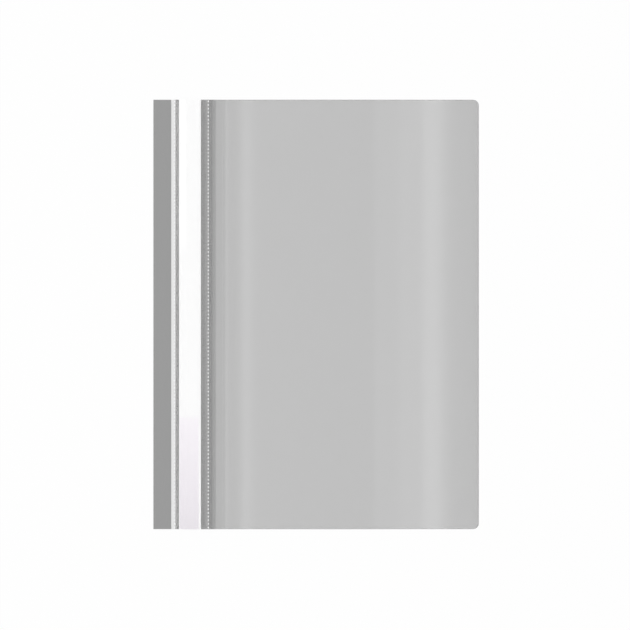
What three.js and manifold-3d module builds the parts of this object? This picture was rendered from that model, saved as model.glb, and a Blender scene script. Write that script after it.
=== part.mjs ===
// A4 report folder for punched sheets, lying closed on its back cover.
// One coloured film sheet makes the back cover, the folded spine and the inner flap. The flap carries two steel
// prongs and their cover bar. A clear film front cover is welded to the flap beside the spine, and a narrow strip
// of the same film, welded on in front of it, holds a paper title strip.
// Millimetres. x runs from the spine fold to the open edge, y up the page, and z up from the table.

import * as THREE from 'three';
import { mergeVertices } from 'three/addons/utils/BufferGeometryUtils.js';
import Module from 'manifold-3d';

const wasm = await Module();
wasm.setup();

// Sheets
const coverWidth = 235;
const coverHeight = 310;
const cornerRadius = 4.2; // at the open edge only, since the spine is a square fold
const colouredFilm = 0.2;
const clearFilm = 0.15;
const flapWidth = 44.5; // inner flap, from the spine fold

// Welds that hold the clear film
const bareSpine = 13.1; // coloured film left uncovered beside the fold
const creaseFromSpine = 17.15; // where the front cover bends to open
const creaseGap = 0.3; // thinned line of the living hinge
const creaseFilm = 0.2; // what the weld leaves of the two films beside that line
const leftDotsFromSpine = 15.4;
const seamFromSpine = 39.75; // dotted seam that closes the title pocket
const seamAllowance = 1.8; // pocket film past the seam
const dotPitch = 2.65;
const dotWidth = 1.0;
const dotLength = 1.5;
const dotRise = 0.08;
const dotTaper = 0.65; // top of a dot, as a share of its foot
const dotRoot = 0.06; // how deep a dot goes into its film
const dotEndMargin = 1.2; // least room from the last dot to the sheet's end

// Title strip in the pocket
const labelFromCrease = 1.2;
const labelWidth = 16;
const labelPaper = 0.1;
const slipGap = 0.04; // air under and over the paper
const pocketSlope = 3.4; // width over which the pocket film comes down to its seam

// Prongs and cover bar
const holeFromSheetEdge = 12; // a filed sheet's edge lies at the crease
const prongSpacing = 80;
const stripWidth = 6;
const stripThickness = 0.3;
const bendRadius = 0.2; // inside of the strip's bends
const tongueLength = 38;
const tongueTipWidth = 4.6;
const barLength = 105;
const barWidth = 9.6;
const barSheet = 0.4;
const barRim = 0.8; // height of the bar's rolled edges
const barEndRadius = 3.5;
const slotClearance = 0.5; // round a prong, on each side

// Lie of the front cover
const filmClearance = 0.12; // over the fastener
const openEdgeGap = 0.2; // between the covers at the open edge
const shoulderHeight = 1.05; // under the cover, just past the flap
const shoulderRun = 6; // past the flap's edge
const coverArch = 0.7; // slight belly of the cover between flap and open edge
const fineStep = 1.1; // facet width over the pocket
const coarseStep = 6; // facet width over the rest of the cover

// Heights, worked out from the layers in the order in which they lie
const flapUnder = colouredFilm + stripThickness;
const flapTop = flapUnder + colouredFilm;
const barTop = flapTop + barSheet;
const tongueTop = barTop + stripThickness;
const overBar = Math.max(tongueTop, flapTop + barRim) + filmClearance;
const openEdgeHeight = colouredFilm + openEdgeGap;
const weldTop = flapTop + 2 * clearFilm;

// Places across the folder
const creaseLeft = creaseFromSpine - creaseGap / 2;
const creaseRight = creaseFromSpine + creaseGap / 2;
const prongFromSpine = creaseRight + holeFromSheetEdge;
const labelLeft = creaseRight + labelFromCrease;
const labelRight = labelLeft + labelWidth;
const pocketRight = seamFromSpine + seamAllowance;
const barLeft = prongFromSpine - barWidth / 2;
const barRight = prongFromSpine + barWidth / 2;

const ex = new THREE.Vector3(1, 0, 0);
const ey = new THREE.Vector3(0, 1, 0);
const ez = new THREE.Vector3(0, 0, 1);

function toSolid(geometry) {
  const bare = geometry.clone();
  bare.deleteAttribute('normal');
  bare.deleteAttribute('uv');
  const merged = mergeVertices(bare, 1e-5);
  return new wasm.Manifold(new wasm.Mesh({
    numProp: 3,
    vertProperties: new Float32Array(merged.attributes.position.array),
    triVerts: new Uint32Array(merged.index.array),
  }));
}

function toGeometry(solid) {
  const mesh = solid.getMesh();
  const geometry = new THREE.BufferGeometry();
  geometry.setAttribute('position', new THREE.BufferAttribute(new Float32Array(mesh.vertProperties), 3));
  geometry.setIndex(new THREE.BufferAttribute(new Uint32Array(mesh.triVerts), 1));
  geometry.computeVertexNormals();
  return geometry;
}

// A section drawn in x and z, carried along y and centred on y = 0
function alongPage(section, length) {
  const geometry = new THREE.ExtrudeGeometry(section, { depth: length, bevelEnabled: false, curveSegments: 10 });
  geometry.applyMatrix4(new THREE.Matrix4().makeBasis(ex, ez, ey.clone().negate()));
  geometry.translate(0, length / 2, 0);
  return toSolid(geometry);
}

// A section drawn in y and z, carried along x and centred on the line x = centre
function acrossPage(section, width, centre) {
  const geometry = new THREE.ExtrudeGeometry(section, { depth: width, bevelEnabled: false, curveSegments: 8 });
  geometry.applyMatrix4(new THREE.Matrix4().makeBasis(ey, ez, ex));
  geometry.translate(centre - width / 2, 0, 0);
  return toSolid(geometry);
}

// A plan outline drawn in x and y, carried up from one height to another
function upright(outline, from, to) {
  const geometry = new THREE.ExtrudeGeometry(outline, { depth: to - from, bevelEnabled: false, curveSegments: 8 });
  geometry.translate(0, 0, from);
  return toSolid(geometry);
}

function block(x, y, z, width, length, height) {
  const geometry = new THREE.BoxGeometry(width, length, height);
  geometry.translate(x, y, z);
  return toSolid(geometry);
}

// Rises smoothly from 0 to 1 between two places
function ramp(from, to, x) {
  const t = THREE.MathUtils.clamp((x - from) / (to - from), 0, 1);
  return t * t * (3 - 2 * t);
}

// Underside of the front cover: up from the weld, over the bar, down past the flap and on to the open edge
function coverUnderside(x) {
  const climb = (overBar - flapTop) * ramp(creaseRight, barLeft, x);
  const shoulder = (overBar - shoulderHeight) * ramp(barRight, flapWidth + shoulderRun, x);
  const slope = (shoulderHeight - openEdgeHeight) * ramp(flapWidth, coverWidth, x);
  const across = THREE.MathUtils.clamp((x - flapWidth) / (coverWidth - flapWidth), 0, 1);
  const belly = coverArch * Math.sin(Math.PI * across) ** 2;
  return flapTop + climb - shoulder - slope + belly;
}

// Extra height of the pocket film where the title strip lies under it
function pocketLift(x) {
  const up = ramp(creaseRight, labelLeft, x);
  const down = ramp(labelRight, labelRight + pocketSlope, x);
  return (labelPaper + 2 * slipGap) * (up - down);
}

// Places where the front cover's layers have their corners, shared so that they lie on each other exactly
function makeStations() {
  const places = [labelLeft, labelRight, labelRight + pocketSlope, seamFromSpine, pocketRight, coverWidth];
  for (let x = creaseRight; x < pocketRight; x += fineStep) places.push(x);
  for (let x = pocketRight + coarseStep; x < coverWidth; x += coarseStep) places.push(x);
  return places.sort((a, b) => a - b);
}

const stations = makeStations();

// A film or paper strip between two places, with its lower and upper face given as functions of x
function layer(from, to, lower, upper) {
  const places = stations.filter((x) => x >= from && x <= to);
  const section = new THREE.Shape([
    ...places.map((x) => new THREE.Vector2(x, lower(x))),
    ...places.reverse().map((x) => new THREE.Vector2(x, upper(x))),
  ]);
  return alongPage(section, coverHeight);
}

// Outline of a cover with its two rounded corners, run past the spine fold
function coverOutline() {
  const top = coverHeight / 2;
  const right = coverWidth;
  const outline = new THREE.Shape();
  outline.moveTo(-1, -top);
  outline.lineTo(right - cornerRadius, -top);
  outline.absarc(right - cornerRadius, cornerRadius - top, cornerRadius, -Math.PI / 2, 0, false);
  outline.absarc(right - cornerRadius, top - cornerRadius, cornerRadius, 0, Math.PI / 2, false);
  outline.lineTo(-1, top);
  return outline;
}

function roundCorners(solid) {
  return solid.intersect(upright(coverOutline(), -1, overBar + coverArch + 2));
}

// One row of weld dots up the page, standing on a film whose top is at the given height
function weldDots(x, filmTop) {
  const count = Math.floor((coverHeight - 2 * dotEndMargin) / dotPitch) + 1;
  const height = dotRise + dotRoot;
  let row = null;
  for (let i = 0; i < count; i += 1) {
    const dot = new THREE.CylinderGeometry(dotTaper * Math.SQRT1_2, Math.SQRT1_2, height, 4);
    dot.rotateY(Math.PI / 4); // a frustum on a square foot of 1 mm, then stretched
    dot.rotateX(Math.PI / 2);
    dot.scale(dotWidth, dotLength, 1);
    dot.translate(x, (i - (count - 1) / 2) * dotPitch, filmTop - dotRoot + height / 2);
    row = row ? row.add(toSolid(dot)) : toSolid(dot);
  }
  return row;
}

// Slots in the flap and in the bar, one round each prong
function prongSlots(from, to) {
  const width = stripWidth + 2 * slotClearance;
  const length = stripThickness + 2 * slotClearance;
  const middle = (from + to) / 2;
  return [-1, 1]
    .map((side) => block(prongFromSpine, side * prongSpacing / 2, middle, width, length, to - from))
    .reduce((both, slot) => both.add(slot));
}

// Back cover, spine fold and inner flap: one sheet with a round fold
function makeBackCover() {
  const foldRadius = flapTop / 2;
  const section = new THREE.Shape();
  section.moveTo(coverWidth, 0);
  section.lineTo(coverWidth, colouredFilm);
  section.lineTo(foldRadius, colouredFilm);
  section.absarc(foldRadius, foldRadius, foldRadius - colouredFilm, -Math.PI / 2, Math.PI / 2, true);
  section.lineTo(flapWidth, flapUnder);
  section.lineTo(flapWidth, flapTop);
  section.lineTo(foldRadius, flapTop);
  section.absarc(foldRadius, foldRadius, foldRadius, Math.PI / 2, -Math.PI / 2, false);
  const sheet = roundCorners(alongPage(section, coverHeight));
  return sheet.subtract(prongSlots(flapUnder - stripThickness / 2, flapTop + 1));
}

// Welded margin of the two clear films, left of the crease and pressed thinner towards it
function makeWeldMargin() {
  const section = new THREE.Shape([
    new THREE.Vector2(bareSpine, flapTop),
    new THREE.Vector2(creaseLeft, flapTop),
    new THREE.Vector2(creaseLeft, flapTop + creaseFilm),
    new THREE.Vector2(leftDotsFromSpine, weldTop),
    new THREE.Vector2(bareSpine, weldTop),
  ]);
  return alongPage(section, coverHeight).add(weldDots(leftDotsFromSpine, weldTop));
}

// Clear front cover, from the crease to the open edge
function makeFrontCover() {
  const top = (x) => coverUnderside(x) + clearFilm;
  return roundCorners(layer(creaseRight, coverWidth, coverUnderside, top));
}

// Clear strip over the title, welded along both edges and open at both ends
function makeTitlePocket() {
  const under = (x) => coverUnderside(x) + clearFilm + pocketLift(x);
  const top = (x) => under(x) + clearFilm;
  return layer(creaseRight, pocketRight, under, top).add(weldDots(seamFromSpine, top(seamFromSpine)));
}

// Paper title strip, as long as the folder
function makeTitleStrip() {
  const under = (x) => coverUnderside(x) + clearFilm + slipGap;
  return layer(labelLeft, labelRight, under, (x) => under(x) + labelPaper);
}

// Plan of one folded tongue: full width at its bend, tapering to a round tip
function tonguePlan(side) {
  const root = prongSpacing / 2 + stripThickness;
  const tip = prongSpacing / 2 - tongueLength;
  const tipRadius = tongueTipWidth / 2;
  const plan = new THREE.Shape();
  plan.moveTo(-stripWidth / 2, side * root);
  plan.lineTo(-tipRadius, side * (tip + tipRadius));
  plan.absarc(0, side * (tip + tipRadius), tipRadius, Math.PI, side > 0 ? 2 * Math.PI : 0, side < 0);
  plan.lineTo(stripWidth / 2, side * root);
  return plan;
}

// Steel strip under the flap, with both ends bent up through it and folded down over the bar
function makeProngStrip() {
  const outside = bendRadius + stripThickness;
  const bend = prongSpacing / 2 + stripThickness / 2 - outside;
  const low = colouredFilm + outside;
  const high = tongueTop - outside;
  const tip = prongSpacing / 2 - tongueLength;
  const quarter = Math.PI / 2;
  const section = new THREE.Shape();
  section.moveTo(-bend, colouredFilm);
  section.lineTo(bend, colouredFilm);
  section.absarc(bend, low, outside, -quarter, 0, false);
  section.absarc(bend, high, outside, 0, quarter, false);
  section.lineTo(tip, tongueTop);
  section.lineTo(tip, barTop);
  section.lineTo(bend, barTop);
  section.absarc(bend, high, bendRadius, quarter, 0, true);
  section.absarc(bend, low, bendRadius, 0, -quarter, true);
  section.lineTo(-bend, flapUnder);
  section.absarc(-bend, low, bendRadius, -quarter, -2 * quarter, true);
  section.absarc(-bend, high, bendRadius, 2 * quarter, quarter, true);
  section.lineTo(-tip, barTop);
  section.lineTo(-tip, tongueTop);
  section.lineTo(-bend, tongueTop);
  section.absarc(-bend, high, outside, quarter, 2 * quarter, false);
  section.absarc(-bend, low, outside, 2 * quarter, 3 * quarter, false);
  const strip = acrossPage(section, stripWidth, prongFromSpine);
  const tongues = [1, -1]
    .map((side) => upright(tonguePlan(side), flapTop, tongueTop + 1).translate([prongFromSpine, 0, 0]))
    .reduce((both, tongue) => both.add(tongue));
  const below = block(prongFromSpine, 0, flapTop / 2, 2 * stripWidth, 2 * prongSpacing, flapTop);
  return strip.intersect(tongues.add(below));
}

// Pressed cover bar: a shallow channel with rolled edges, round ends and a slot for each prong
function makeCoverBar() {
  const half = barWidth / 2;
  const section = new THREE.Shape();
  section.moveTo(-half + barSheet, 0);
  section.lineTo(half - barSheet, 0);
  section.absarc(half - barSheet, barSheet, barSheet, -Math.PI / 2, 0, false);
  section.lineTo(half, barRim - barSheet / 2);
  section.absarc(half - barSheet / 2, barRim - barSheet / 2, barSheet / 2, 0, Math.PI, false);
  section.lineTo(half - barSheet, barSheet);
  section.lineTo(-half + barSheet, barSheet);
  section.lineTo(-half + barSheet, barRim - barSheet / 2);
  section.absarc(-half + barSheet / 2, barRim - barSheet / 2, barSheet / 2, 0, Math.PI, false);
  section.lineTo(-half, barSheet);
  section.absarc(-half + barSheet, barSheet, barSheet, Math.PI, 1.5 * Math.PI, false);
  const end = barLength / 2 - barEndRadius;
  const side = half - barEndRadius;
  const plan = new THREE.Shape();
  plan.absarc(side, end, barEndRadius, 0, Math.PI / 2, false);
  plan.absarc(-side, end, barEndRadius, Math.PI / 2, Math.PI, false);
  plan.absarc(-side, -end, barEndRadius, Math.PI, 1.5 * Math.PI, false);
  plan.absarc(side, -end, barEndRadius, 1.5 * Math.PI, 2 * Math.PI, false);
  const bar = alongPage(section, barLength).intersect(upright(plan, -1, barRim + 1));
  return bar.translate([prongFromSpine, 0, flapTop]).subtract(prongSlots(flapTop - 1, tongueTop + 1));
}

const greyFilm = { color: '#9b9b9b', roughness: 0.45, metalness: 0 };
const clear = { color: '#e6e9ea', roughness: 0.25, metalness: 0, transparent: true, opacity: 0.35 };
const paper = { color: '#fbfbfb', roughness: 0.85, metalness: 0 };
const steel = { color: '#c9cbcd', roughness: 0.3, metalness: 1 };

const folder = new THREE.Group();
folder.position.x = -coverWidth / 2;

function place(name, solid, finish) {
  const mesh = new THREE.Mesh(toGeometry(solid), new THREE.MeshStandardMaterial(finish));
  mesh.name = name;
  folder.add(mesh);
}

place('back_cover', makeBackCover(), greyFilm);
place('prong_strip', makeProngStrip(), steel);
place('cover_bar', makeCoverBar(), steel);
place('weld_margin', makeWeldMargin(), clear);
place('front_cover', makeFrontCover(), clear);
place('title_strip', makeTitleStrip(), paper);
place('title_pocket', makeTitlePocket(), clear);

export default folder;
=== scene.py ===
# A4 report folder, closed on its back cover: grey film back, clear film front, title pocket, steel prongs
import math

import bpy
import numpy as np
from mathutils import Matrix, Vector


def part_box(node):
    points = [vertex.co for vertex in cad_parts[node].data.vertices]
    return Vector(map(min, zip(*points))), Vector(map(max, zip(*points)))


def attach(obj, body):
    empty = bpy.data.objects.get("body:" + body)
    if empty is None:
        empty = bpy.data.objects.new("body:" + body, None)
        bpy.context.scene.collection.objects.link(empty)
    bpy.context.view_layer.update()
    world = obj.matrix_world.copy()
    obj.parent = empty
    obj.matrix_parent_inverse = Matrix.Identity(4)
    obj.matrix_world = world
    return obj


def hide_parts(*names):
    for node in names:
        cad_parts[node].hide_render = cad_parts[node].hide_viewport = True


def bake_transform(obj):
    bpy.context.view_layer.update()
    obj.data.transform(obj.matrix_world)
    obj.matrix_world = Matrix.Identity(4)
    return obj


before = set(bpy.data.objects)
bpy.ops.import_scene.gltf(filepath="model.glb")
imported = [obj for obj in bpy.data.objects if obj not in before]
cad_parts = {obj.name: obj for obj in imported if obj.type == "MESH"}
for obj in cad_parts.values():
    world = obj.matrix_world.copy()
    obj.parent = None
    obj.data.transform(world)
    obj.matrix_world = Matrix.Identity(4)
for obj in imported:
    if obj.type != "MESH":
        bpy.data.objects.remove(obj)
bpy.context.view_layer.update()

mm = 0.001

backLow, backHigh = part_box("back_cover")
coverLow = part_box("front_cover")[0]
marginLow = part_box("weld_margin")[0]
stripLow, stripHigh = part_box("title_strip")
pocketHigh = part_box("title_pocket")[1]
barLow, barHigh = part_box("cover_bar")
spineX = backLow[0]
openX = backHigh[0]
pageTop = backHigh[1]
flapTop = marginLow[2]  # the clear films are welded to the top of the flap


# Studio: pale floor, even light, and long lamps overhead that the clear film shows as upright bands
studio = {
    "worldLight": 0.555,
    "floorColour": "#fbfbfb",
    "floorGlow": 0.94,  # how much of the floor's look is plain white, the rest shows shadows
    "floorSize": 6.0,
    "floorDrop": 0.05 * mm,  # keeps the floor clear of the folder's underside
    "cameraLens": 100.0,
    "cameraSensor": 36.0,
    "cameraReach": 50.0,
    "viewWidth": 455.1 * mm,  # width of the picture at the folder
    "aimX": -0.8 * mm,
    "aimY": -0.4 * mm,
    "keyPower": 5.1,
    "keyPlace": (-1.3, 0.9, 2.0),
    "fillPower": 4.5,
    "fillPlace": (1.5, -0.8, 1.8),
    "lampSize": 1.6,
    "overheadHeight": 1.9,
    "overheadLength": 2.4,
    "overheadStep": 0.01,  # each long lamp hangs this much under the one before, so their light adds up
    "overheadBoxes": (  # from, to and radiance of each long lamp over the folder
        (-0.152, 0.295, 0.53),
        (-0.158, -0.135, 0.28),
        (-0.152, -0.141, 0.30),
        (0.150, 0.275, 0.30),
        (0.205, 0.275, 0.24),
        (0.246, 0.266, 0.65),
        (-1.000, -0.168, 1.50),
    ),
}


def linear(hexColour, alpha=1.0):
    # sRGB hex to linear light
    parts = [int(hexColour[i:i + 2], 16) / 255 for i in (1, 3, 5)]
    return tuple(c / 12.92 if c <= 0.04045 else ((c + 0.055) / 1.055) ** 2.4 for c in parts) + (alpha,)


def addNode(tree, kind, settings=None, inputs=None):
    # one node with its settings; an input takes a value, a node's output, or a node for its first output
    node = tree.nodes.new("ShaderNode" + kind)
    for key, value in (settings or {}).items():
        setattr(node, key, value)
    for key, value in (inputs or {}).items():
        if isinstance(value, bpy.types.Node):
            value = value.outputs[0]
        if isinstance(value, bpy.types.NodeSocket):
            tree.links.new(value, node.inputs[key])
        else:
            node.inputs[key].default_value = value
    return node


def newMaterial(name):
    material = bpy.data.materials.new(name)
    material.use_nodes = True
    tree = material.node_tree
    tree.nodes.clear()
    return material, tree


# settings that many of the nodes share; a smooth step falls where its From Min is over its From Max
smooth = {"interpolation_type": "SMOOTHSTEP"}
subtract = {"operation": "SUBTRACT"}
multiply = {"operation": "MULTIPLY"}
multiplyAdd = {"operation": "MULTIPLY_ADD"}
larger = {"operation": "MAXIMUM"}
plainSize = {"operation": "ABSOLUTE"}


def makeCamera():
    data = bpy.data.cameras.new("overheadCamera")
    data.lens = studio["cameraLens"]
    data.sensor_width = studio["cameraSensor"]
    data.clip_end = studio["cameraReach"]
    camera = bpy.data.objects.new("overheadCamera", data)
    bpy.context.collection.objects.link(camera)
    height = studio["viewWidth"] * studio["cameraLens"] / studio["cameraSensor"]
    camera.location = (studio["aimX"], studio["aimY"], height)
    bpy.context.scene.camera = camera
    print("camera: straight over the folder, at", round(height, 3), "m")


def areaLamp(name, place, aim, width, length, power):
    data = bpy.data.lights.new(name, "AREA")
    data.shape = "RECTANGLE"
    data.size = width
    data.size_y = length
    data.energy = power
    lamp = bpy.data.objects.new(name, data)
    bpy.context.collection.objects.link(lamp)
    lamp.location = place
    direction = np.array(aim) - np.array(place)
    yaw = math.atan2(direction[0], -direction[2])
    tilt = -math.atan2(direction[1], math.hypot(direction[0], direction[2]))
    lamp.rotation_euler = (-tilt, -yaw, 0.0)
    lamp.visible_camera = False
    return lamp


def makeFloor():
    half = studio["floorSize"] / 2
    corners = [(-half, -half, 0), (half, -half, 0), (half, half, 0), (-half, half, 0)]
    mesh = bpy.data.meshes.new("floor")
    mesh.from_pydata(corners, [], [(0, 1, 2, 3)])
    floor = bpy.data.objects.new("floor", mesh)
    bpy.context.collection.objects.link(floor)
    floor.location.z = -studio["floorDrop"]
    material, tree = newMaterial("paintedTable")
    path = addNode(tree, "LightPath").outputs
    seen = addNode(tree, "Math", larger, {0: path["Is Camera Ray"], 1: path["Is Glossy Ray"]})
    seen = addNode(tree, "Math", larger, {0: seen, 1: path["Is Transmission Ray"]})
    share = addNode(tree, "Math", multiply, {0: seen, 1: studio["floorGlow"]})
    paint = addNode(tree, "BsdfDiffuse", None, {"Color": linear(studio["floorColour"])})
    glow = addNode(tree, "Emission", None, {"Color": linear("#ffffff"), "Strength": 1.0})
    surface = addNode(tree, "MixShader", None, {0: share, 1: paint, 2: glow})
    addNode(tree, "OutputMaterial", None, {"Surface": surface})
    mesh.materials.append(material)


def makeWorld():
    world = bpy.data.worlds.new("studio")
    bpy.context.scene.world = world
    world.use_nodes = True
    tree = world.node_tree
    tree.nodes.clear()
    path = addNode(tree, "LightPath").outputs
    seen = addNode(tree, "Math", larger, {0: path["Is Camera Ray"], 1: path["Is Transmission Ray"]})
    strength = addNode(tree, "Mix", {"data_type": "FLOAT"}, {0: seen, 2: studio["worldLight"], 3: 1.0})
    sky = addNode(tree, "Background", None, {"Color": linear("#ffffff"), "Strength": strength})
    addNode(tree, "OutputWorld", None, {"Surface": sky})


def makeLamps():
    size = studio["lampSize"]
    areaLamp("keyLamp", studio["keyPlace"], (0, 0, 0), size, size, studio["keyPower"])
    areaLamp("fillLamp", studio["fillPlace"], (0, 0, 0), size, size, studio["fillPower"])
    height, length = studio["overheadHeight"], studio["overheadLength"]
    for start, end, radiance in studio["overheadBoxes"]:
        middle, width = (start + end) / 2, end - start
        power = radiance * math.pi * width * length
        areaLamp("overheadLamp", (middle, 0, height), (middle, 0, 0), width, length, power)
        height -= studio["overheadStep"]


def makeStudio():
    makeFloor()
    makeWorld()
    makeLamps()
    print("studio: floor, world and", 2 + len(studio["overheadBoxes"]), "lamps made")


# Lie of the clear films, as the sheets are built
film = {
    "thickness": 0.15 * mm,
    "overBar": 0.12 * mm,
    "shoulder": 1.05 * mm,
    "shoulderRun": 6 * mm,
    "flapWidth": 44.5 * mm,
    "openEdge": 0.2 * mm,
    "arch": 0.7 * mm,
    "cornerRadius": 4.2 * mm,
    "colouredThickness": 0.2 * mm,
    "creaseStart": 16.4 * mm,
    "creaseEnd": 18.4 * mm,
    "sharpAngle": 50,  # degrees, past which an edge of a sheet is shaded sharp
}

weld = {
    "leftDots": 15.4 * mm,
    "seam": 39.75 * mm,
    "seamHighlightLine": 38.9 * mm,  # middle of the painted highlight line that the dots stand beside
    "pitch": 2.65 * mm,
    "dotWidth": 1.1 * mm,
    "dotLength": 1.65 * mm,
    "dotSlope": (0.6, 1.1),  # where a dot's side starts and ends, as shares of its radius
    "rise": 0.08 * mm,
    # the pale margin between these two is a painted highlight on the film beside the weld
    "paleLeft": 12.95 * mm,
    "paleRight": 16.05 * mm,
    "paleFade": 0.95 * mm,
}


def ramp(start, end, x):
    # smooth rise from 0 to 1: 3 t squared less 2 t cubed
    t = np.clip((x - start) / (end - start), 0, 1)
    return t * t * (3 - 2 * t)


def coverUnderside(x):
    # up from the weld, over the bar, down past the flap, then a slow fall with a belly of sine squared
    flapX = spineX + film["flapWidth"]
    overBar = barHigh[2] + film["overBar"]
    openEdge = film["colouredThickness"] + film["openEdge"]
    climb = (overBar - flapTop) * ramp(coverLow[0], barLow[0], x)
    shoulder = (overBar - film["shoulder"]) * ramp(barHigh[0], flapX + film["shoulderRun"], x)
    slope = (film["shoulder"] - openEdge) * ramp(flapX, openX, x)
    across = np.clip((x - flapX) / (openX - flapX), 0, 1)
    return flapTop + climb - shoulder - slope + film["arch"] * np.sin(np.pi * across) ** 2


def dotMask(x, y, centre):
    # 1 on a weld dot and 0 off it: distance to the nearest dot of the row as a share of an oval's radius
    along = y - np.round(y / weld["pitch"]) * weld["pitch"]
    reach = np.hypot((x - centre) / (weld["dotWidth"] / 2), along / (weld["dotLength"] / 2))
    return 1 - ramp(*weld["dotSlope"], reach)


def cornerHalf(x):
    # half the page's height at x: a quarter circle takes it in at the open edge's corners
    into = np.clip(x - (openX - film["cornerRadius"]), 0, film["cornerRadius"])
    return pageTop - film["cornerRadius"] + np.sqrt(film["cornerRadius"] ** 2 - into ** 2)


def gridOf(places, rows):
    # every place across the folder against every height on the page, drawn in at the rounded corners
    x = np.repeat(np.array(places)[:, None], len(rows), axis=1)
    y = np.array(rows)[None, :] * (cornerHalf(x) / pageTop)
    return x, y


def stretch(start, end, step):
    # even places from start up to, but not at, the end
    count = max(1, round((end - start) / step))
    return start + (end - start) * np.arange(count) / count


def closedSheet(name, x, y, low, high, material, pointValues=None):
    # top skin and bottom skin over one grid of places, joined by a rim of quads round all four sides
    columns, rows = x.shape
    count = columns * rows
    top = np.stack([x, y, high], axis=-1).reshape(-1, 3)
    bottom = np.stack([x, y, low], axis=-1).reshape(-1, 3)
    index = np.arange(count).reshape(columns, rows)
    a, b, c, d = index[:-1, :-1], index[1:, :-1], index[1:, 1:], index[:-1, 1:]
    skin = np.stack([a, b, c, d], axis=-1).reshape(-1, 4)
    under = skin[:, ::-1] + count
    ring = np.concatenate([index[:, 0], index[-1, 1:], index[-2::-1, -1], index[0, -2:0:-1]])
    after = np.roll(ring, -1)
    rim = np.stack([ring + count, after + count, after, ring], axis=-1)
    quads = np.concatenate([skin, under, rim]).astype(np.int32)
    mesh = bpy.data.meshes.new(name)
    mesh.vertices.add(2 * count)
    mesh.vertices.foreach_set("co", np.concatenate([top, bottom]).astype(np.float32).ravel())
    mesh.loops.add(quads.size)
    mesh.loops.foreach_set("vertex_index", quads.ravel())
    mesh.polygons.add(len(quads))
    mesh.polygons.foreach_set("loop_start", np.arange(0, quads.size, 4, dtype=np.int32))
    mesh.polygons.foreach_set("use_smooth", np.ones(len(quads), bool))
    mesh.update(calc_edges=True)
    mesh.validate()
    mesh.set_sharp_from_angle(angle=math.radians(film["sharpAngle"]))
    written = {"upper": np.repeat([1.0, 0.0], count)}  # tells the top skin from the bottom one
    for key, values in (pointValues or {}).items():
        written[key] = np.tile(values.ravel(), 2)
    for key, values in written.items():
        data = mesh.attributes.new(key, "FLOAT", "POINT")
        data.data.foreach_set("value", values.astype(np.float32))
    mesh.materials.append(material)
    sheet = bpy.data.objects.new(name, mesh)
    bpy.context.collection.objects.link(sheet)
    print(name + ":", len(quads), "quads")
    return sheet


# Front cover: one film from the weld margin to the open edge, finer where it bends to open
cover = {
    "marginStep": 1.0 * mm,
    "creaseStep": 0.2 * mm,
    "step": 1.5 * mm,
    "cornerPlaces": 13,
    "rows": 63,
}


def makeCoverFilm(material):
    left = spineX + weld["paleLeft"]
    creaseStart, creaseEnd = spineX + film["creaseStart"], spineX + film["creaseEnd"]
    cornerX = openX - film["cornerRadius"]
    turn = np.linspace(0, np.pi / 2, cover["cornerPlaces"])
    places = np.concatenate([
        stretch(left, creaseStart, cover["marginStep"]),
        stretch(creaseStart, creaseEnd, cover["creaseStep"]),
        stretch(creaseEnd, cornerX, cover["step"]),
        cornerX + film["cornerRadius"] * np.sin(turn),
    ])
    x, y = gridOf(places, np.linspace(-pageTop, pageTop, cover["rows"]))
    low = coverUnderside(x)
    pointValues = {"weld": np.zeros_like(x), "across": x - spineX, "bareEdge": np.ones_like(x)}
    piece = closedSheet("clear_cover_film", x, y, low, low + film["thickness"], material, pointValues)
    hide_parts("front_cover", "weld_margin")
    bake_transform(piece)


# Title strip of paper, loose between the cover and the pocket film
title = {
    "paper": 0.1 * mm,
    "slip": 0.04 * mm,  # air under and over the paper
    "slope": 3.4 * mm,  # width over which the pocket film comes down past the paper
    "columns": 25,
    "rows": 41,
    "fieldLeft": 18.9 * mm,
    "fieldRight": 32.85 * mm,
    "fieldHeight": 81 * mm,
    "fieldEdge": 0.15 * mm,
    "paperColour": "#ffffff",
    "fieldColours": ("#e9e4ea", "#f1ecf2", "#fbf7fc"),  # foot, middle and head of the printed field
    "fieldMiddle": 0.35,
    "roughness": 0.8,
    "fibre": 0.4 * mm,
    "fibreHeight": 0.01 * mm,
    "fibreStrength": 0.6,
}


def makeTitlePaper(material):
    x, y = gridOf(
        np.linspace(stripLow[0], stripHigh[0], title["columns"]),
        np.linspace(-pageTop, pageTop, title["rows"]),
    )
    low = coverUnderside(x) + film["thickness"] + title["slip"]
    piece = closedSheet("title_paper_strip", x, y, low, low + title["paper"], material)
    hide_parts("title_strip")
    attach(piece, "front_half")


# Title pocket: a narrow film over the paper, finer along its two rows of embossed weld dots
pocket = {
    "marginStep": 0.7 * mm,
    "dotStep": 0.2 * mm,
    "dotBand": 0.9 * mm,  # half the width that has the fine step
    "creaseStep": 0.35 * mm,
    "paperStep": 1.6 * mm,
    "slopeStep": 0.8 * mm,
    "dotRows": (-0.5, -0.31, -0.22, -0.08, 0.08, 0.22, 0.31),  # points along a dot, as shares of the pitch
}


def pocketLift(x):
    # room for the title strip between the two clear films
    up = ramp(coverLow[0], stripLow[0], x)
    down = ramp(stripHigh[0], stripHigh[0] + title["slope"], x)
    return (title["paper"] + 2 * title["slip"]) * (up - down)


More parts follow.
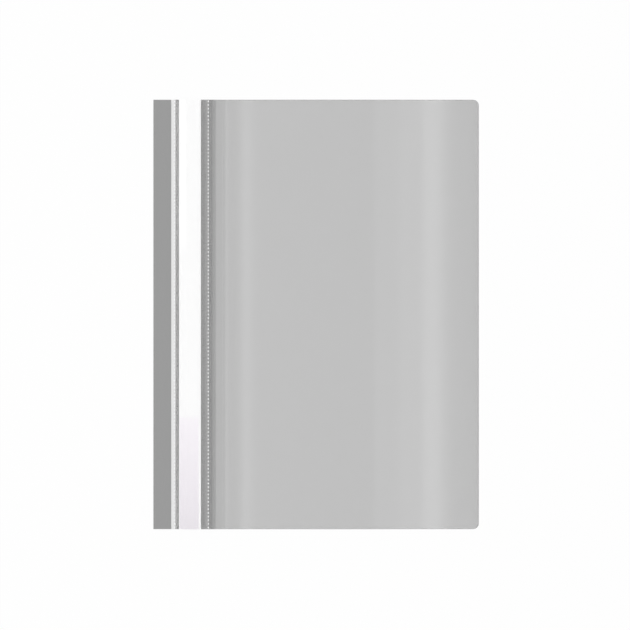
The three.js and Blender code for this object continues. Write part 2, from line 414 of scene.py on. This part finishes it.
def makePocketFilm(material):
    left = spineX + weld["paleLeft"]
    dots, seam = spineX + weld["leftDots"], spineX + weld["seam"]
    creaseStart, creaseEnd = spineX + film["creaseStart"], spineX + film["creaseEnd"]
    band = pocket["dotBand"]
    places = np.concatenate([
        stretch(left, dots - band, pocket["marginStep"]),
        stretch(dots - band, dots + band, pocket["dotStep"]),
        stretch(dots + band, creaseEnd, pocket["creaseStep"]),
        stretch(creaseEnd, stripHigh[0], pocket["paperStep"]),
        stretch(stripHigh[0], seam - band, pocket["slopeStep"]),
        stretch(seam - band, seam + band, pocket["dotStep"]),
        [seam + band, pocketHigh[0]],
    ])
    count = int((pageTop - weld["dotLength"] / 2) / weld["pitch"])
    centres = np.arange(-count, count + 1) * weld["pitch"]
    rows = (centres[:, None] + np.array(pocket["dotRows"])[None, :] * weld["pitch"]).ravel()
    rows = np.unique(np.clip(np.append(rows, pageTop), -pageTop, pageTop))
    x, y = gridOf(places, rows)
    marks = np.maximum(dotMask(x, y, dots), dotMask(x, y, seam))
    low = coverUnderside(x) + film["thickness"] + pocketLift(x)
    high = low + film["thickness"] + weld["rise"] * marks
    pointValues = {"weld": marks, "across": x - spineX, "bareEdge": np.zeros_like(x)}
    piece = closedSheet("title_pocket_film", x, y, low, high, material, pointValues)
    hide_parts("title_pocket")
    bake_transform(piece)


# Grey polypropylene film, calendered satin: even and soft; painted light makes the single layer past the flap
# lighter than where two layers lie on each other, and painted shadow softens the step past the flap's edge
greyFilm = {
    "twoLayers": "#999999",
    "oneLayerPaintedLight": "#c3c3c3",
    "flapShadow": 1.2 * mm,
    "flapShare": 0.63,  # how far the tone has risen just past the flap's edge, inside the painted shadow of the flap
    "shadowFadeStart": 5.4 * mm,  # past the flap's edge, where the painted shadow of the flap fades out as the cover comes down on the sheet
    "shadowFadeEnd": 8.4 * mm,
    "softBands": (  # light and shade beside the welds: place from the spine, reach and change of tone
        (17.4 * mm, 0.8 * mm, -0.4),
        (35.9 * mm, 1.4 * mm, -0.07),
        (38.2 * mm, 1.6 * mm, 0.15),
        (41.7 * mm, 2.0 * mm, -0.25),
    ),
    "roughness": 0.42,
    "ior": 1.49,
    "grain": 0.35 * mm,
    "grainHeight": 0.006 * mm,
}


def makeGreyFilm():
    material, tree = newMaterial("calenderedGreyPolypropylene")
    point = addNode(tree, "TexCoord").outputs["Object"]
    x = addNode(tree, "SeparateXYZ", None, {"Vector": point}).outputs["X"]
    flapX = spineX + film["flapWidth"]
    shadow, share = greyFilm["flapShadow"], greyFilm["flapShare"]
    # painted shadow of the flap's edge on the sheet below, fading out further on
    edge = addNode(tree, "MapRange", smooth, {
        "Value": x, "From Min": flapX - shadow, "From Max": flapX + shadow,
    })
    rest = addNode(tree, "MapRange", smooth, {
        "Value": x, "From Min": flapX + greyFilm["shadowFadeStart"], "From Max": flapX + greyFilm["shadowFadeEnd"],
    })
    paintedShadeRamp = addNode(tree, "Math", multiply, {0: edge, 1: share})
    paintedShadeRamp = addNode(tree, "Math", multiplyAdd, {0: rest, 1: 1 - share, 2: paintedShadeRamp})
    # the film's own grey where two layers lie, and the single layer past the flap painted lighter
    tone = addNode(tree, "Mix", {"data_type": "RGBA"}, {
        0: paintedShadeRamp, 6: linear(greyFilm["twoLayers"]), 7: linear(greyFilm["oneLayerPaintedLight"]),
    }).outputs[2]
    light = 1.0
    for place, reach, change in greyFilm["softBands"]:
        off = addNode(tree, "Math", subtract, {0: x, 1: spineX + place})
        off = addNode(tree, "Math", plainSize, {0: off})
        band = addNode(tree, "MapRange", smooth, {"Value": off, "From Min": reach, "From Max": 0.0})
        light = addNode(tree, "Math", multiplyAdd, {0: band, 1: change, 2: light})
    tone = addNode(tree, "VectorMath", {"operation": "SCALE"}, {0: tone, 3: light})
    grain = addNode(tree, "TexNoise", None, {"Vector": point, "Scale": 1 / greyFilm["grain"], "Detail": 2.0})
    bump = addNode(tree, "Bump", None, {
        "Strength": 1.0, "Distance": greyFilm["grainHeight"], "Height": grain.outputs["Fac"],
    })
    surface = addNode(tree, "BsdfPrincipled", None, {
        "Base Color": tone, "Roughness": greyFilm["roughness"], "IOR": greyFilm["ior"], "Normal": bump,
    })
    addNode(tree, "OutputMaterial", None, {"Surface": surface})
    return material


# Clear polypropylene film, cast and glossy: a trace of milk, white where the weld dots have stressed it, and
# painted highlights on the margin and on a line beside the seam
clearFilm = {
    "tint": "#ffffff",
    "milk": "#fbfbfb",
    "haze": 0.007,
    "dotHaze": 1.0,
    "dotEdge": (0.35, 0.65),  # how much of a dot's rise turns white, from and to
    # strength of the painted highlight on the line beside the seam
    "seamPaintedHighlight": 0.03,
    "seamCore": 0.33 * mm,
    "seamReach": 0.825 * mm,
    # strength of the painted highlight on the margin beside the weld
    "marginPaintedHighlight": 0.84,
    "cutHaze": 0.4,
    "cutColour": "#bababa",  # the cut edge takes light in sideways and looks grey from above
    "cutWidth": 0.4 * mm,
    "gloss": 0.037,
    "glossRise": 5.0,  # power with which the gloss rises towards a grazing view
    "roughness": 0.033,
}


def makeClearFilm():
    material, tree = newMaterial("castClearPolypropylene")
    mark, across, bareEdge = (
        addNode(tree, "Attribute", {"attribute_name": name}).outputs["Fac"]
        for name in ("weld", "across", "bareEdge")
    )
    point = addNode(tree, "TexCoord").outputs["Object"]
    y = addNode(tree, "SeparateXYZ", None, {"Vector": point}).outputs["Y"]

    # whitened by the weld at its dots, and painted highlights on the line beside the seam and on the margin
    low, high = clearFilm["dotEdge"]
    dot = addNode(tree, "MapRange", smooth, {"Value": mark, "From Min": low, "From Max": high})
    # painted highlight along the line beside the seam
    offSeam = addNode(tree, "Math", subtract, {0: across, 1: weld["seamHighlightLine"]})
    offSeam = addNode(tree, "Math", plainSize, {0: offSeam})
    seamHighlightLine = addNode(tree, "MapRange", smooth, {
        "Value": offSeam, "From Min": clearFilm["seamReach"], "From Max": clearFilm["seamCore"],
    })
    # painted highlight over the margin beside the weld
    palest, clearest = weld["paleRight"] - weld["paleFade"], weld["paleRight"] + weld["paleFade"]
    pale = addNode(tree, "MapRange", smooth, {"Value": across, "From Min": clearest, "From Max": palest})

    # cut edge: how far out the point lies from the lines through the rounded corners' centres
    radius, width = film["cornerRadius"], clearFilm["cutWidth"]
    halfway = addNode(tree, "Math", plainSize, {0: y})
    outward = 0.0
    for value, centre in ((across, openX - spineX - radius), (halfway, pageTop - radius)):
        past = addNode(tree, "Math", subtract, {0: value, 1: centre})
        past = addNode(tree, "Math", larger, {0: past, 1: 0.0})
        outward = addNode(tree, "Math", multiplyAdd, {0: past, 1: past, 2: outward})
    outward = addNode(tree, "Math", {"operation": "SQRT"}, {0: outward})
    cut = addNode(tree, "MapRange", smooth, {
        "Value": outward, "From Min": radius - width, "From Max": radius - width / 2,
    })
    for mask in (addNode(tree, "Math", subtract, {0: 1.0, 1: pale}), bareEdge):
        cut = addNode(tree, "Math", multiply, {0: cut, 1: mask})

    haze = clearFilm["haze"]
    # the film's milk, plus the whitened weld dots, the painted highlights on seam line and margin, and the
    # cut edge
    for mask, share in ((dot, "dotHaze"), (seamHighlightLine, "seamPaintedHighlight"), (pale, "marginPaintedHighlight"), (cut, "cutHaze")):
        haze = addNode(tree, "Math", multiplyAdd, {0: mask, 1: clearFilm[share], 2: haze})
    milkTone = addNode(tree, "Mix", {"data_type": "RGBA"}, {
        0: cut, 6: linear(clearFilm["milk"]), 7: linear(clearFilm["cutColour"]),
    }).outputs[2]
    through = addNode(tree, "BsdfTransparent", None, {"Color": linear(clearFilm["tint"])})
    milk = addNode(tree, "BsdfDiffuse", None, {"Color": milkTone})
    body = addNode(tree, "MixShader", None, {0: haze, 1: through, 2: milk})

    facing = addNode(tree, "LayerWeight", None, {"Blend": 0.5}).outputs["Facing"]
    grazing = addNode(tree, "Math", {"operation": "POWER"}, {0: facing, 1: clearFilm["glossRise"]})
    share = addNode(tree, "Math", multiplyAdd, {0: grazing, 1: 1 - clearFilm["gloss"], 2: clearFilm["gloss"]})
    gloss = addNode(tree, "BsdfAnisotropic", None, {
        "Color": linear("#ffffff"), "Roughness": clearFilm["roughness"],
    })
    surface = addNode(tree, "MixShader", None, {0: share, 1: body, 2: gloss})
    addNode(tree, "OutputMaterial", None, {"Surface": surface})
    return material


def makePrintedPaper():
    # smooth uncoated paper with one flat printed field, left bare, on its upper face
    material, tree = newMaterial("smoothPrintedPaper")
    point = addNode(tree, "TexCoord").outputs["Object"]
    split = addNode(tree, "SeparateXYZ", None, {"Vector": point})
    x, y = split.outputs["X"], split.outputs["Y"]
    head = title["fieldHeight"] - pageTop
    edge = title["fieldEdge"]
    inside = addNode(tree, "Attribute", {"attribute_name": "upper"}).outputs["Fac"]
    sides = (
        (x, spineX + title["fieldLeft"], edge),
        (x, spineX + title["fieldRight"], -edge),
        (y, head, -edge),
    )
    for value, place, half in sides:
        side = addNode(tree, "MapRange", smooth, {
            "Value": value, "From Min": place - half, "From Max": place + half,
        })
        inside = addNode(tree, "Math", multiply, {0: inside, 1: side})
    rise = addNode(tree, "MapRange", None, {"Value": y, "From Min": -pageTop, "From Max": head})
    tint = addNode(tree, "ValToRGB", None, {"Fac": rise})
    lowTint, middleTint, highTint = title["fieldColours"]
    tint.color_ramp.elements[0].color = linear(lowTint)
    tint.color_ramp.elements[1].color = linear(highTint)
    tint.color_ramp.elements.new(title["fieldMiddle"]).color = linear(middleTint)
    tone = addNode(tree, "Mix", {"data_type": "RGBA"}, {
        0: inside, 6: linear(title["paperColour"]), 7: tint.outputs["Color"],
    }).outputs[2]
    fibre = addNode(tree, "TexNoise", None, {"Vector": point, "Scale": 1 / title["fibre"], "Detail": 4.0})
    bump = addNode(tree, "Bump", None, {
        "Strength": title["fibreStrength"], "Distance": title["fibreHeight"], "Height": fibre.outputs["Fac"],
    })
    surface = addNode(tree, "BsdfPrincipled", None, {
        "Base Color": tone, "Roughness": title["roughness"], "IOR": 1.45, "Normal": bump,
    })
    addNode(tree, "OutputMaterial", None, {"Surface": surface})
    return material


# Nickel plated strip steel, rolled: fine lines along the strip catch the light
stripSteel = {
    "colour": "#cfcdc8",
    "lineWidth": 0.15 * mm,
    "lineStretch": 0.02,
    "lineHeight": 0.004 * mm,
    "lineStrength": 0.5,
    "smoothest": 0.22,
    "roughest": 0.38,
}


def makeSteel():
    material, tree = newMaterial("nickelPlatedSteel")
    point = addNode(tree, "TexCoord").outputs["Object"]
    drawn = addNode(tree, "Mapping", None, {"Vector": point, "Scale": (1.0, stripSteel["lineStretch"], 1.0)})
    lines = addNode(tree, "TexNoise", None, {
        "Vector": drawn, "Scale": 1 / stripSteel["lineWidth"], "Detail": 3.0,
    }).outputs["Fac"]
    rough = addNode(tree, "MapRange", None, {
        "Value": lines, "To Min": stripSteel["smoothest"], "To Max": stripSteel["roughest"],
    })
    bump = addNode(tree, "Bump", None, {
        "Strength": stripSteel["lineStrength"], "Distance": stripSteel["lineHeight"], "Height": lines,
    })
    surface = addNode(tree, "BsdfPrincipled", None, {
        "Base Color": linear(stripSteel["colour"]), "Metallic": 1.0, "Roughness": rough, "Normal": bump,
    })
    addNode(tree, "OutputMaterial", None, {"Surface": surface})
    return material


def dress(node, material):
    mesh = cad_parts[node].data
    mesh.materials.clear()
    mesh.materials.append(material)
    print(node + ": dressed in", material.name)


bpy.context.scene.view_settings.view_transform = "Standard"
makeCamera()
makeStudio()
dress("back_cover", makeGreyFilm())
steel = makeSteel()
dress("prong_strip", steel)
dress("cover_bar", steel)
clear = makeClearFilm()
makeCoverFilm(clear)
makePocketFilm(clear)
makeTitlePaper(makePrintedPaper())
